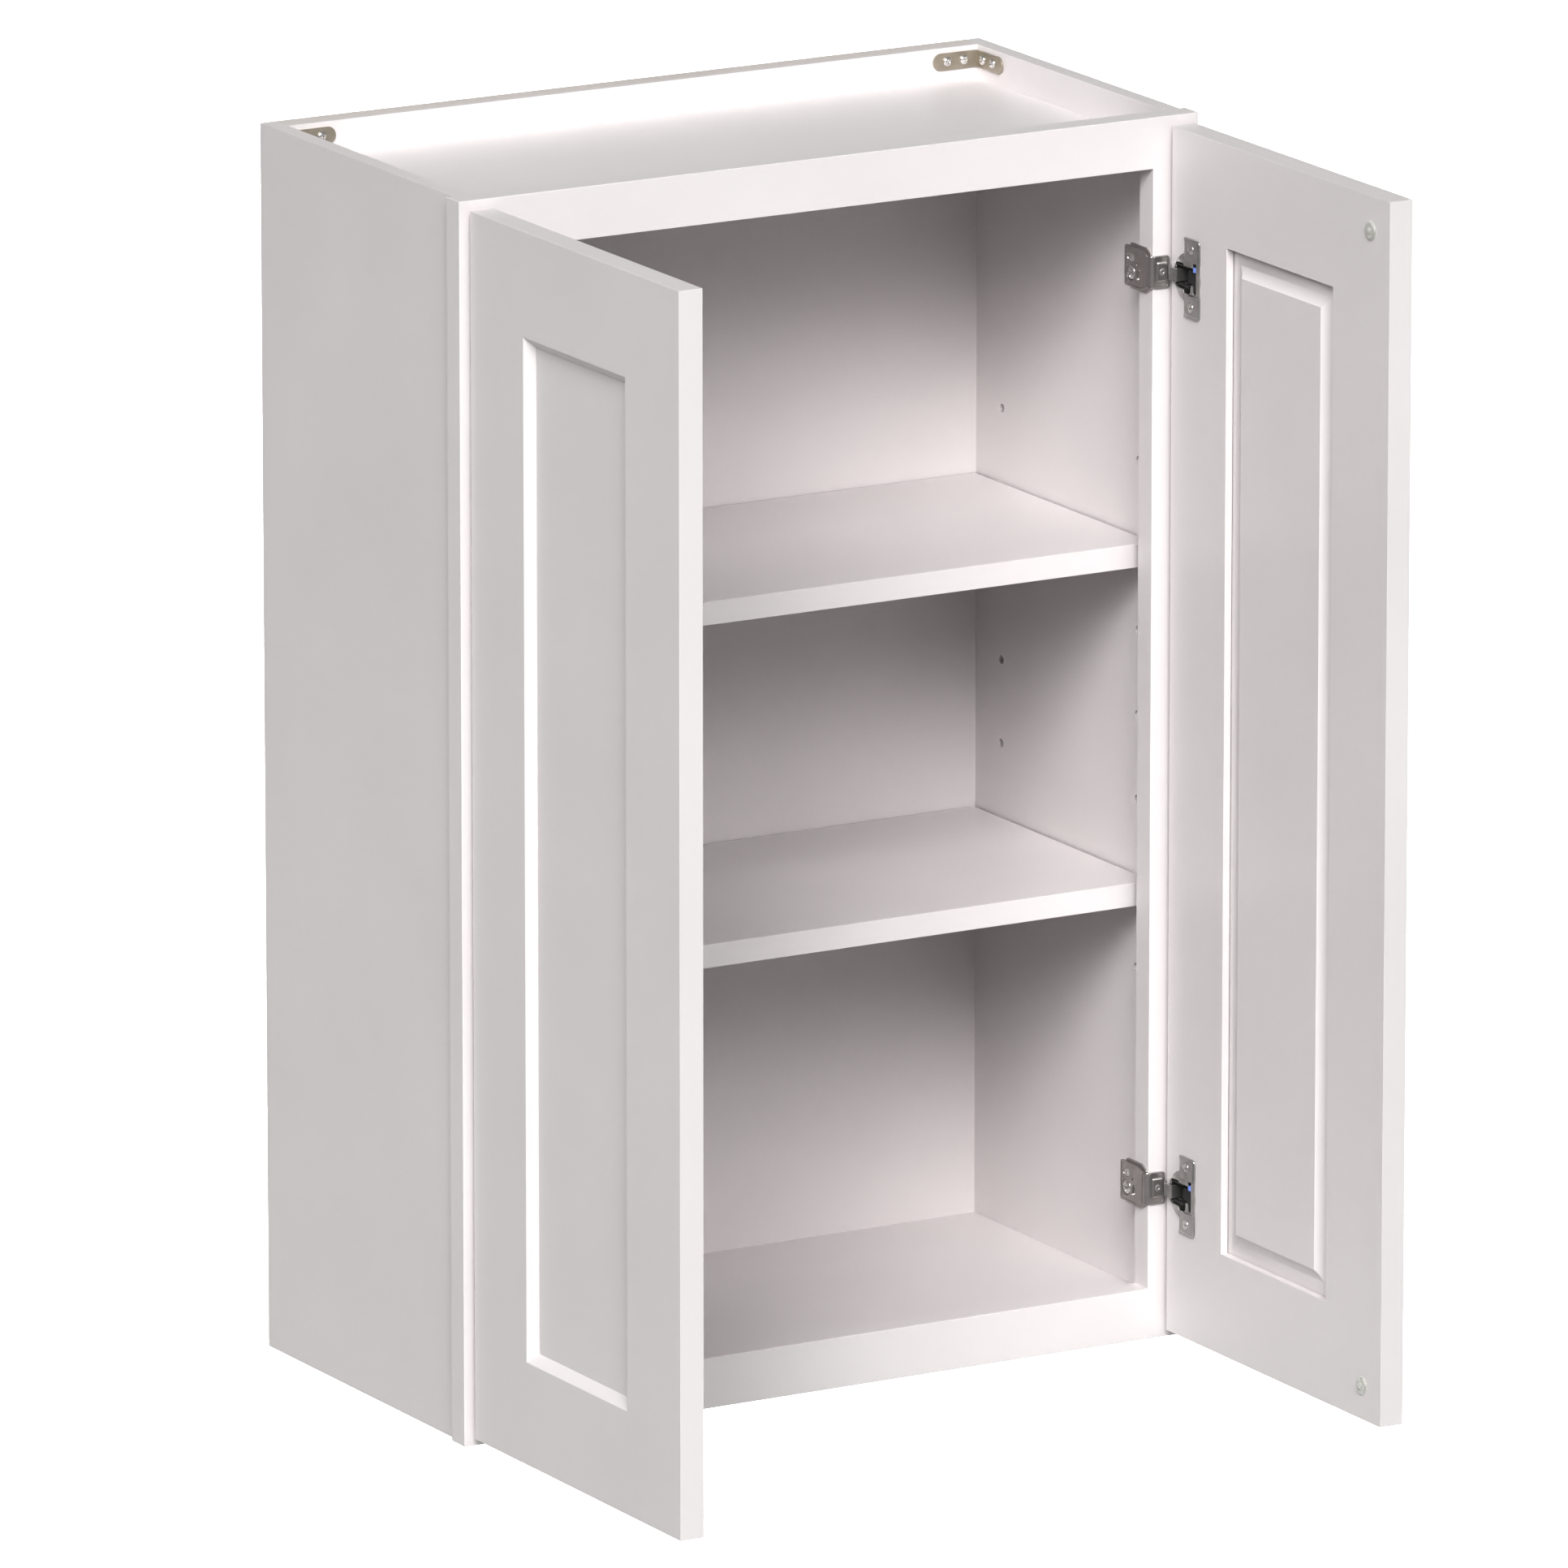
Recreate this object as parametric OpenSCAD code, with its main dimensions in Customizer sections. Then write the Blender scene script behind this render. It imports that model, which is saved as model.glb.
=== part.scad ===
// Wall cabinet with a face frame, two framed doors on wrap-around concealed hinges and two loose shelves.
// The origin is on the wall face, at the middle of its lower edge: X to the right, Y to the wall, Z up.
// The doors stand open at 90 degrees. Hinge parts are drawn about the hinge pin.

/* [Cabinet] */
// Width over the face frame
cabinet_w = 609.6; // [500:0.1:900]
// Height of the box
cabinet_h = 914.4; // [800:0.1:1100]
// Depth from the wall to the front of the face frame
cabinet_d = 304.8; // [280:0.1:400]
// Thickness of the side, top and bottom panels
panel_t = 12.7; // [12:0.1:16]
// Thickness of the back panel
back_t = 3.5; // [3:0.1:6]
// Thickness of the hanging rails and back stiles
hanging_t = 15.8; // [12:0.1:20]
// Width of the hanging rails and back stiles
hanging_w = 76.2; // [50:0.1:100]
// Drop from the top edge of the sides to the top panel
top_recess = 25.4; // [22:0.1:26]
// Rise from the lower edge of the sides to the bottom panel
bottom_recess = 12.7; // [6:0.1:20]

/* [Face frame] */
// Width of the face-frame stiles and rails
frame_w = 38.1; // [36:0.1:45]
// Thickness of the face frame
frame_t = 19.05; // [18:0.05:22]
// How far the face frame stands out past each side panel
frame_overhang = 4.76; // [2:0.01:8]

/* [Shelves] */
// Shelf thickness
shelf_t = 17.5; // [16:0.1:20]
// Distance between shelf holes up a column
hole_pitch = 63.5; // [50:0.1:64]
// Distance between the two columns of shelf holes
hole_columns = 195.2; // [150:0.1:200]
// Distance from the wall to the rear column
hole_rear = 56.4; // [50:0.1:65]
// Diameter of a shelf hole
hole_dia = 6.35; // [5:0.05:7]

/* [Doors] */
// Door thickness
door_t = 19.05; // [18.5:0.05:20]
// Width of the door stiles and rails
member_w = 76.2; // [60:0.1:80]
// Cabinet frame showing beside each closed door
side_reveal = 4.75; // [3:0.05:7]
// Gap between the closed doors
centre_gap = 3.2; // [2:0.1:6]
// Cabinet frame showing above and below the doors
end_reveal = 6.35; // [3:0.05:8]
// Distance from the ends of a door to its hinge centres
hinge_inset = 107.95; // [90:0.05:130]
// Distance from the door's edges to its bumpers
bumper_inset = 25.4; // [20:0.1:35]

/* [Hidden] */

$fn = 64;
over = 1;              // cutters run this far past the faces they open
LEFT = -1;
RIGHT = 1;

paint = [0.88, 0.86, 0.85];
steel = [0.66, 0.65, 0.63];
black = [0.12, 0.12, 0.13];
blue = [0.45, 0.56, 0.92];
clear_grey = [0.72, 0.73, 0.70];

// Box
half_w = cabinet_w / 2;
side_outer_x = half_w - frame_overhang;
side_inner_x = side_outer_x - panel_t;
front_y = -cabinet_d;
frame_back_y = front_y + frame_t;
back_rear_y = -hanging_t;
back_front_y = back_rear_y - back_t;
joint_d = 6.35;                          // depth of the housings and of the grooves for the back
tongue_d = 8.5;                          // how far the sides run into the face-frame stiles
tongue_y = frame_back_y - tongue_d;
top_z = cabinet_h - top_recess;          // upper face of the top panel
opening_x = half_w - frame_w;

// Shelf holes: two columns up each side, centred on the cabinet's height
hole_steps = [-3 : 3];
shelf_step = 2;                          // the shelves hang two holes above and below the middle
hole_depth = 10;
hole_y = [-hole_rear, -hole_rear - hole_columns];
ledge_drop = 9.8;                        // from a support's peg down to its ledge
support_t = 1.2;
support_w = 12;
support_rise = 7;                        // from the peg up to the top of the support
peg_l = 9;
peg_clearance = 0.075;
shelf_gap = 1.6;                         // at each end of a shelf
shelf_front_y = -275.8;
shelf_rear_gap = 0.8;

// Corner brackets
corner_leg = 38.1;
corner_w = 12.7;
corner_t = 1.5;
corner_z = cabinet_h - 10.2;
corner_back_holes = [12.2, 26.5];        // from the corner along the back
corner_side_holes = [10, 24.3];          // from the corner along the side
screw_head_r = 3.6;
screw_head_h = 1.8;
screw_r = 1.9;
screw_l = 11;
screw_tip = 1;                           // length of a screw's point, or the room left below a blunt end
pilot_clearance = 0.05;
pilot_r = screw_r + pilot_clearance;
screw_crown = 0.55;                      // share of the head's radius that is flat on top
screw_shoulder = 0.45;                   // share of the head's height that its rim takes

// Doors: u runs from the hinge edge, v from the back face to the front face, z up
door_w = half_w - side_reveal - centre_gap / 2;
door_h = cabinet_h - 2 * end_reveal;
panel_front_v = door_t - 6.8;
panel_back_v = panel_front_v - 6.35;
door_groove_d = 9.5;
bevel_w = 7;
bevel_step = 0.5;
panel_float = 0.8;                       // room for the panel at the bottom of the grooves
field_v = 1.4;                           // the raised field lies this far below the door's back face
cove_start = 1.5;
cove_end = 18.7;
cove_sweep = 64;                         // angle that the cove's arc turns through
cove_steps = 8;
eased = 1;                               // eased rear corner of the hinge edge, which clears the frame

// Bumpers
bumper_h = 3;
bumper_r = 6.75;
bumper_stem_r = 2.5;
bumper_stem_l = 7;
rim_h = 1.05;                            // height of the outer rim
ring_h = 1.8;
moat_h = 1.35;
shoulder_h = 2.4;                        // height at which the dome starts to close
ring_r = 4.6;
dome_r = 2.6;
crown_r = 1.3;

// Hinge pin, placed from the closed door
door_gap = 3.4;                          // between the closed door and the face frame
pin_edge = 9.4;                          // from the pin to the door's hinge edge
pin_depth = 11;                          // from the pin to the door's back face
pin_x = half_w - side_reveal - pin_edge;
pin_y = front_y - door_gap - pin_depth;
pin_r = 1.2;
pin_clearance = 0.05;
hinge_z = [cabinet_h - end_reveal - hinge_inset, end_reveal + hinge_inset];
UPPER = 0;
LOWER = 1;

// The places below are measured from the pin of a right-hand hinge with its door open
frame_y = door_gap + pin_depth;          // front of the face frame
stile_x = opening_x - pin_x;             // edge of the face frame's stile
edge_y = pin_edge;                       // hinge edge of the door
plate_t = 1.4;
plate_y = [frame_y + 29.6, frame_y + 7.6, frame_y + 1];   // rear edge, shoulder and front edge
plate_half_h = [17, 13];                 // behind the shoulder and at the front edge
bracket_t = 1.6;
wrap_t = 1.4;
base_x = stile_x - plate_t;
bracket_x = base_x - bracket_t;
wrap_right_x = -11;
wrap_half_h = 12;
side_half_h = 15;
bracket_rear_y = frame_y + 34.3;
bracket_neck_y = [frame_y + 12.2, frame_y + 2.8];         // where it narrows towards the wrap
bracket_slot = [[frame_y + 14, frame_y + 18], [-9, -1]];  // adjusting slot, along the bracket and up
bracket_dot = [frame_y + 17.8, 2.6];     // small locating hole
bracket_dot_r = 0.9;
raised_x = [-21.5, -12.4];
raised_half_h = 7.5;
raised_t = 2.4;                          // from the face frame to the front of the raised seat
screw_seat = [frame_y + 26.6, -4.6];     // fixing screw, along the bracket and up
cam_seat = [frame_y + 26.6, 6.4];        // adjusting screw
fixing_r = 2;
fixing_head_r = 4.2;
fixing_head_h = 1.8;
fixing_l = 16;
fixing_hole_r = fixing_r + pilot_clearance;
cam_r = 4.6;
cam_h = 1.2;
cam_stud_r = 1.8;

arm_half_h = 5;
arm_t = 1.2;
arm_slip = 0.1;                          // room round the arm under the raised seat
arm_seat_start = 0.5;                    // from the raised seat's edge to the arm's end
arm_lip = [-9.4, -11.4];                 // where the seat's rear and front faces turn
arm_run_x = [-13.6, -15.1];              // inner and outer faces of the run past the door's edge
arm_run_y = [6.5, 7];                    // where those faces start
arm_tip_y = -0.7;
rivet_x = -17;
rivet_r = 1.5;
rivet_head_r = 2.6;
rivet_head_h = 0.6;
knuckle_r = 2.2;

cup_y = edge_y - 22.9;
cup_r = 17.5;
cup_wall = 0.8;
cup_depth = 13.8;
bore_depth = cup_depth + cup_wall + pilot_clearance;
flange_t = 1.2;
flange_r = 18;
ear_y = [-30.5, -9.3];
ear_half_h = 29.5;
ear_corner_r = 2.5;
slot_y = [-26.2, 3.2];
slot_half_h = 9.8;
lug_z = [5.4, 6.8];
lug_x = [-2.8, 3.2];
lug_y = [-3.2, 2.4];
cup_screw_y = -17.9;
cup_screw_z = 21.5;
cup_screw_r = 1.75;
cup_screw_head_r = 3.75;
cup_screw_head_h = 0.4;
cup_screw_l = 13;
cup_screw_hole_r = cup_screw_r + pilot_clearance;

lever_half_h = 7.4;
lever_tail = [-9.2, 4.6];                // lower and upper ends of the narrow tail
lever_tail_y = -20.5;
lever_nose = [[-10.9, -13.4], [-7.2, -15.6], [-1.5, -15.8]];
lever_heel = [[-1.5, -20.5], [-4, -23.4], [-7, -24], [-9.6, -24], [-10.9, -22.7]];
finger_x = [-10.8, -8.6];
finger_y = [-15.4, 0.2];
finger_z = 5.8;

switch_x = [-12.4, -8.5];
switch_y = [-25.4, -21.9];
switch_z = [5.4, 9.4];
switch_room = 2.6;                       // free height above the switch
switch_side_gap = 0.25;

// Helpers

module slab(from, to) {
    translate(from) cube([to[0] - from[0], to[1] - from[1], to[2] - from[2]]);
}

module on_side(side) {
    if (side == RIGHT) children();
    else mirror([1, 0, 0]) children();
}

// A left-hand hinge is the same part as a right-hand one, turned upside down
module at_hinge(side, level) {
    translate([side * pin_x, pin_y, hinge_z[level]])
        rotate([0, side == RIGHT ? 0 : 180, 0]) children();
}

module both_hinges(side) {
    for (level = [UPPER, LOWER]) at_hinge(side, level) children();
}

// Extrudes a shape drawn in Y and -Z along X
module along_x(from, to) {
    translate([from, 0, 0]) rotate([0, 90, 0]) linear_extrude(to - from) children();
}

// A cylinder along +X from the given point
module rod_x(at, r, l) {
    translate(at) rotate([0, 90, 0]) cylinder(r = r, h = l);
}

// A cylinder along +Y from the given point
module rod_y(at, r, l) {
    translate(at) rotate([-90, 0, 0]) cylinder(r = r, h = l);
}

// Box

module side_panel(side) {
    cut_x = side_inner_x - over;
    housed_x = side_inner_x + joint_d;
    color(paint) on_side(side) difference() {
        slab([side_inner_x, tongue_y, 0], [side_outer_x, 0, cabinet_h]);
        slab([cut_x, back_front_y, -over], [housed_x, back_rear_y, cabinet_h + over]);
        for (z = [top_z - panel_t, bottom_recess])
            slab([cut_x, frame_back_y, z], [housed_x, back_front_y, z + panel_t]);
        for (y = hole_y, step = hole_steps)
            rod_x([cut_x, y, cabinet_h / 2 + step * hole_pitch], hole_dia / 2, hole_depth + over);
        for (d = corner_side_holes)
            rod_x([cut_x, back_front_y - d, corner_z], pilot_r, screw_l + over);
    }
}

module level_panel(z) {
    end_x = side_inner_x + joint_d;
    color(paint) slab([-end_x, frame_back_y, z], [end_x, back_front_y, z + panel_t]);
}

module back_panel() {
    end_x = side_inner_x + joint_d;
    color(paint) difference() {
        slab([-end_x, back_front_y, 0], [end_x, back_rear_y, cabinet_h]);
        corner_pilots();
    }
}

module back_stile(side) {
    color(paint) difference() {
        on_side(side) slab([side_inner_x - hanging_w, back_rear_y, 0], [side_inner_x, 0, cabinet_h]);
        corner_pilots();
    }
}

module hanging_rail(z) {
    end_x = side_inner_x - hanging_w;
    color(paint) slab([-end_x, back_rear_y, z], [end_x, 0, z + hanging_w]);
}

// Pilot holes for the corner brackets' screws in the back
module corner_pilots() {
    for (side = [LEFT, RIGHT], d = corner_back_holes)
        rod_y([side * (side_inner_x - d), back_front_y - over, corner_z], pilot_r, screw_l + over);
}

// Face frame

module frame_stile(side) {
    color(paint) difference() {
        on_side(side) difference() {
            slab([opening_x, front_y, 0], [half_w, frame_back_y, cabinet_h]);
            slab([side_inner_x, tongue_y, -over], [side_outer_x, frame_back_y + over, cabinet_h + over]);
        }
        both_hinges(side)
            rod_x([stile_x - over, screw_seat[0], screw_seat[1]], fixing_hole_r, fixing_l + over);
    }
}

module frame_rail(z) {
    color(paint) slab([-opening_x, front_y, z], [opening_x, frame_back_y, z + frame_w]);
}

// Corner brackets

// One flat leg with a round end, along +Y from the origin, with its holes
module corner_leg(holes) {
    end_r = corner_w / 2;
    rotate([0, 90, 0]) linear_extrude(corner_t) difference() {
        union() {
            translate([-end_r, 0]) square([corner_w, corner_leg - end_r]);
            translate([0, corner_leg - end_r]) circle(end_r);
        }
        for (d = holes) translate([0, d]) circle(pilot_r);
    }
}

module corner_bracket(side) {
    color(steel) on_side(side) translate([side_inner_x, back_front_y, corner_z]) {
        mirror([0, 1, 0]) mirror([1, 0, 0]) corner_leg(corner_side_holes);
        rotate([0, 0, 90]) mirror([1, 0, 0]) corner_leg(corner_back_holes);
    }
}

// A round-headed screw along +Z, with the underside of its head at the origin
module round_screw() {
    flat_r = screw_head_r * screw_crown;
    shoulder = screw_head_h * screw_shoulder;
    rotate_extrude() polygon([[0, -screw_head_h], [flat_r, -screw_head_h], [screw_head_r, -shoulder],
        [screw_head_r, 0], [screw_r, 0], [screw_r, screw_l - screw_tip], [0, screw_l]]);
}

module corner_bracket_screws() {
    color(steel) for (side = [LEFT, RIGHT]) on_side(side) translate([side_inner_x, back_front_y, corner_z]) {
        for (d = corner_side_holes) translate([-corner_t, -d, 0]) rotate([0, 90, 0]) round_screw();
        for (d = corner_back_holes) translate([-d, -corner_t, 0]) rotate([-90, 0, 0]) round_screw();
    }
}

// Shelves and their supports

module shelf(step) {
    end_x = side_inner_x - shelf_gap;
    z = cabinet_h / 2 + step * hole_pitch - ledge_drop;
    color(paint) slab([-end_x, shelf_front_y, z], [end_x, back_front_y - shelf_rear_gap, z + shelf_t]);
}

// An L-shaped support on its peg, whose centre is the origin, on the inner face of the right side
module shelf_support() {
    rod_x([-support_t, 0, 0], hole_dia / 2 - peg_clearance, peg_l + support_t);
    slab([-support_t, -support_w / 2, -ledge_drop - support_t], [0, support_w / 2, support_rise]);
    slab([-support_w, -support_w / 2, -ledge_drop - support_t], [0, support_w / 2, -ledge_drop]);
}

module shelf_supports() {
    color(steel) for (side = [LEFT, RIGHT], y = hole_y, step = [-shelf_step, shelf_step])
        on_side(side) translate([side_inner_x, y, cabinet_h / 2 + step * hole_pitch]) shelf_support();
}

// Doors

// Turns door coordinates into the cabinet's, for the right-hand door
module door_place(side) {
    on_side(side) translate([pin_x - pin_depth, pin_y + pin_edge, end_reveal])
        rotate([0, 0, -90]) children();
}

// A stile or rail, drawn as a stile standing on its end with its outer edge at u = 0
module member(length, rear_ease) {
    linear_extrude(length) polygon([
        [rear_ease, 0], [member_w, 0], [member_w, panel_back_v],
        [member_w - door_groove_d, panel_back_v], [member_w - door_groove_d, panel_front_v],
        [member_w + bevel_w, panel_front_v], [member_w + bevel_w, panel_front_v + bevel_step],
        [member_w, door_t], [0, door_t], [0, rear_ease]]);
}

module hinge_stile_body() {
    member(door_h, eased);
}

module free_stile_body() {
    translate([door_w, 0, 0]) mirror([1, 0, 0]) member(door_h, 0);
}

// The bottom rail, coped over the stiles' bevels, with stub tenons in their grooves
module rail_body() {
    start_u = member_w - door_groove_d;
    difference() {
        translate([start_u, 0, 0]) mirror([1, 0, -1]) member(door_w - 2 * start_u, 0);
        hinge_stile_body();
        free_stile_body();
    }
}

module door_hinge_stile(side) {
    color(paint) difference() {
        door_place(side) hinge_stile_body();
        both_hinges(side) {
            rod_x([-pin_depth - over, cup_y, 0], cup_r + pilot_clearance, bore_depth + over);
            for (z = [-cup_screw_z, cup_screw_z])
                rod_x([-pin_depth - over, cup_screw_y, z], cup_screw_hole_r, cup_screw_l + over);
        }
    }
}

module door_free_stile(side) {
    color(paint) door_place(side) difference() {
        free_stile_body();
        for (z = [bumper_inset, door_h - bumper_inset])
            rod_y([door_w - bumper_inset, -over, z], bumper_stem_r + pilot_clearance, bumper_stem_l + over);
    }
}

module door_top_rail(side) {
    color(paint) door_place(side) translate([0, 0, door_h]) mirror([0, 0, 1]) rail_body();
}

module door_bottom_rail(side) {
    color(paint) door_place(side) rail_body();
}

// Height of the cove's arc at the given share of its width, from 0 to 1
function cove_rise(share) =
    (1 - cos(asin(share * sin(cove_sweep)))) / (1 - cos(cove_sweep)) * (panel_back_v - field_v);

// Section across a panel of the given overall size, from the bottom of one groove to the other
function panel_section(size) =
    let (
        start = member_w - door_groove_d + panel_float,
        near = [for (i = [0 : cove_steps])
            [member_w + cove_start + (cove_end - cove_start) * i / cove_steps,
             panel_back_v - cove_rise(i / cove_steps)]],
        far = [for (i = [cove_steps : -1 : 0]) [size - near[i][0], near[i][1]]]
    )
    concat([[start, panel_back_v]], near, far,
        [[size - start, panel_back_v], [size - start, panel_front_v], [start, panel_front_v]]);

module door_panel(side) {
    color(paint) door_place(side) intersection() {
        linear_extrude(door_h) polygon(panel_section(door_w));
        mirror([1, 0, -1]) linear_extrude(door_w) polygon(panel_section(door_h));
    }
}

// A press-in bumper along -v, with the underside of its flange at the origin
module bumper() {
    rotate([90, 0, 0]) rotate_extrude() polygon([[0, -bumper_stem_l], [bumper_stem_r, -bumper_stem_l],
        [bumper_stem_r, 0], [bumper_r, 0], [bumper_r, rim_h], [ring_r, ring_h],
        [dome_r, moat_h], [dome_r, shoulder_h], [crown_r, bumper_h], [0, bumper_h]]);
}

module door_bumpers(side) {
    color(clear_grey) door_place(side) for (z = [bumper_inset, door_h - bumper_inset])
        translate([door_w - bumper_inset, 0, z]) bumper();
}

// Hinges: the parts on the cabinet

module hinge_base_plates(side) {
    color(steel) both_hinges(side) difference() {
        along_x(base_x, stile_x) polygon([[-plate_half_h[0], plate_y[0]], [plate_half_h[0], plate_y[0]],
            [plate_half_h[0], plate_y[1]], [plate_half_h[1], plate_y[2]], [-plate_half_h[1], plate_y[2]],
            [-plate_half_h[0], plate_y[1]]]);
        for (seat = [screw_seat, cam_seat])
            rod_x([base_x - over, seat[0], seat[1]], fixing_hole_r, plate_t + 2 * over);
    }
}

// Upper half of the bracket's outline on the stile's edge, as (height, y)
bracket_half = [[side_half_h, bracket_rear_y], [side_half_h, bracket_neck_y[0]],
    [wrap_half_h, bracket_neck_y[1]], [wrap_half_h, frame_y - wrap_t]];

module hinge_bracket(side, level) {
    color(steel) at_hinge(side, level) difference() {
        union() {
            along_x(bracket_x, base_x) polygon(concat(bracket_half,
                [for (i = [len(bracket_half) - 1 : -1 : 0]) [-bracket_half[i][0], bracket_half[i][1]]]));
            slab([bracket_x, frame_y - wrap_t, -wrap_half_h], [wrap_right_x, frame_y, wrap_half_h]);
            slab([raised_x[0], frame_y - raised_t, -raised_half_h], [raised_x[1], frame_y, raised_half_h]);
        }
        // pocket behind the raised seat, which holds the arm
        slab([raised_x[0] + arm_seat_start - arm_slip, frame_y - arm_t - arm_slip, -arm_half_h - arm_slip],
            [wrap_right_x + over, frame_y + over, arm_half_h + arm_slip]);
        rod_y([rivet_x, frame_y - raised_t - over, 0], rivet_r + pilot_clearance, raised_t + over);
        for (seat = [screw_seat, cam_seat])
            rod_x([bracket_x - over, seat[0], seat[1]], fixing_hole_r, bracket_t + 2 * over);
        slab([bracket_x - over, bracket_slot[0][0], bracket_slot[1][0]],
            [base_x + over, bracket_slot[0][1], bracket_slot[1][1]]);
        rod_x([bracket_x - over, bracket_dot[0], bracket_dot[1]], bracket_dot_r, bracket_t + 2 * over);
    }
}

// The arm runs from its seat on the face frame, round the door's edge and into the cup
module hinge_arm(side, level) {
    seat_x = raised_x[0] + arm_seat_start;
    seat_y = frame_y - arm_t;
    color(steel) at_hinge(side, level) difference() {
        union() {
            translate([0, 0, -arm_half_h]) linear_extrude(2 * arm_half_h) polygon([
                [seat_x, frame_y], [arm_lip[0], frame_y], [arm_lip[0], frame_y - 1],
                [arm_run_x[0], arm_run_y[0]], [arm_run_x[0], arm_tip_y], [0, arm_tip_y],
                [0, -knuckle_r], [arm_run_x[1], -knuckle_r], [arm_run_x[1], arm_run_y[1]],
                [arm_lip[1], seat_y], [seat_x, seat_y]]);
            translate([0, 0, -arm_half_h]) cylinder(r = knuckle_r, h = 2 * arm_half_h);
            rod_y([rivet_x, frame_y - raised_t, 0], rivet_r, raised_t);
            rod_y([rivet_x, frame_y - raised_t - rivet_head_h, 0], rivet_head_r, rivet_head_h);
        }
        translate([0, 0, -arm_half_h - over])
            cylinder(r = pin_r + pin_clearance, h = 2 * (arm_half_h + over));
    }
}

module hinge_fixing_screws() {
    shank_l = stile_x - bracket_x + fixing_l - screw_tip;
    color(steel) for (side = [LEFT, RIGHT]) both_hinges(side) {
        rod_x([bracket_x - fixing_head_h, screw_seat[0], screw_seat[1]], fixing_head_r, fixing_head_h);
        rod_x([bracket_x, screw_seat[0], screw_seat[1]], fixing_r, shank_l);
    }
}

module hinge_adjusting_screws() {
    color(steel) for (side = [LEFT, RIGHT]) both_hinges(side) {
        rod_x([bracket_x - cam_h, cam_seat[0], cam_seat[1]], cam_r, cam_h);
        rod_x([bracket_x, cam_seat[0], cam_seat[1]], cam_stud_r, stile_x - bracket_x);
    }
}

// Hinges: the parts on the door

module rounded_plate(y, half_h, r) {
    difference() {
        translate([-half_h, y[0]]) square([2 * half_h, y[1] - y[0]]);
        for (sx = [-1, 1], end = [0, 1]) {
            dir = end == 0 ? 1 : -1;
            translate([sx * (half_h - r), y[end] + dir * r]) difference() {
                translate([sx > 0 ? 0 : -r - over, dir > 0 ? -r - over : 0]) square(r + over);
                circle(r);
            }
        }
    }
}

module cup_mouth() {
    intersection() {
        translate([-slot_half_h, slot_y[0]]) square([2 * slot_half_h, slot_y[1] - slot_y[0]]);
        translate([0, cup_y]) circle(cup_r - cup_wall);
    }
    translate([-switch_z[1] - switch_room, switch_y[0] - switch_side_gap])
        square([switch_z[1] + switch_room, switch_y[1] - switch_y[0] + 2 * switch_side_gap]);
}

// The round cup, as deep as its bore, along +X from the door's back face
module cup_bowl() {
    inner_r = cup_r - cup_wall;
    outer_depth = cup_depth + cup_wall;
    translate([-pin_depth, cup_y, 0]) rotate([0, 90, 0]) rotate_extrude() polygon([[inner_r, 0], [cup_r, 0],
        [cup_r, outer_depth], [0, outer_depth], [0, cup_depth], [inner_r, cup_depth]]);
}

module hinge_cup(side, level) {
    color(steel) at_hinge(side, level) difference() {
        union() {
            along_x(-pin_depth - flange_t, -pin_depth) difference() {
                union() {
                    translate([0, cup_y]) circle(flange_r);
                    rounded_plate(ear_y, ear_half_h, ear_corner_r);
                }
                cup_mouth();
            }
            cup_bowl();
            // lugs that hold the pin, sunk halfway into the cup's wall
            intersection() {
                for (end = [-1, 1])
                    slab([lug_x[0], lug_y[0], end > 0 ? lug_z[0] : -lug_z[1]],
                        [lug_x[1], lug_y[1], end > 0 ? lug_z[1] : -lug_z[0]]);
                rod_x([-pin_depth, cup_y, 0], cup_r - cup_wall / 2, cup_depth + cup_wall / 2);
            }
        }
        translate([0, 0, -lug_z[1] - over]) cylinder(r = pin_r, h = 2 * (lug_z[1] + over));
        for (z = [-cup_screw_z, cup_screw_z])
            rod_x([-pin_depth - flange_t - over, cup_screw_y, z], cup_screw_hole_r, flange_t + 2 * over);
    }
}

module hinge_pins(side) {
    color(steel) both_hinges(side) translate([0, 0, -lug_z[1]]) cylinder(r = pin_r, h = 2 * lug_z[1]);
}

module cup_screws(side) {
    seat_x = -pin_depth - flange_t;
    color(steel) both_hinges(side) for (z = [-cup_screw_z, cup_screw_z]) {
        rod_x([seat_x - cup_screw_head_h, cup_screw_y, z], cup_screw_head_r, cup_screw_head_h);
        rod_x([seat_x, cup_screw_y, z], cup_screw_r, flange_t + cup_screw_l - screw_tip);
    }
}

// The soft-close lever: a body inside the cup, a tail and two fingers beside the arm
module damper_lever(side, level) {
    color(black) at_hinge(side, level) {
        difference() {
            lever_block(-lever_half_h, lever_half_h);
            heel_block(lever_tail[1], lever_half_h + over);
        }
        intersection() {
            lever_block(lever_tail[0], lever_tail[1]);
            heel_block(lever_tail[0] - over, 0);
        }
        for (z = [-lever_half_h, finger_z])
            slab([finger_x[0], finger_y[0], z], [finger_x[1], finger_y[1], z + lever_half_h - finger_z]);
    }
}

module lever_block(from, to) {
    translate([0, 0, from]) linear_extrude(to - from) polygon(concat(lever_nose, lever_heel));
}

// The space round the lever's heel, beyond the tail's front edge
module heel_block(from, to) {
    slab([lever_nose[0][0] - over, lever_heel[2][1] - over, from],
        [lever_heel[0][0] + over, lever_tail_y, to]);
}

module damper_switch(side, level) {
    color(blue) at_hinge(side, level)
        slab([switch_x[0], switch_y[0], switch_z[0]], [switch_x[1], switch_y[1], switch_z[1]]);
}

// Nodes

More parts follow.
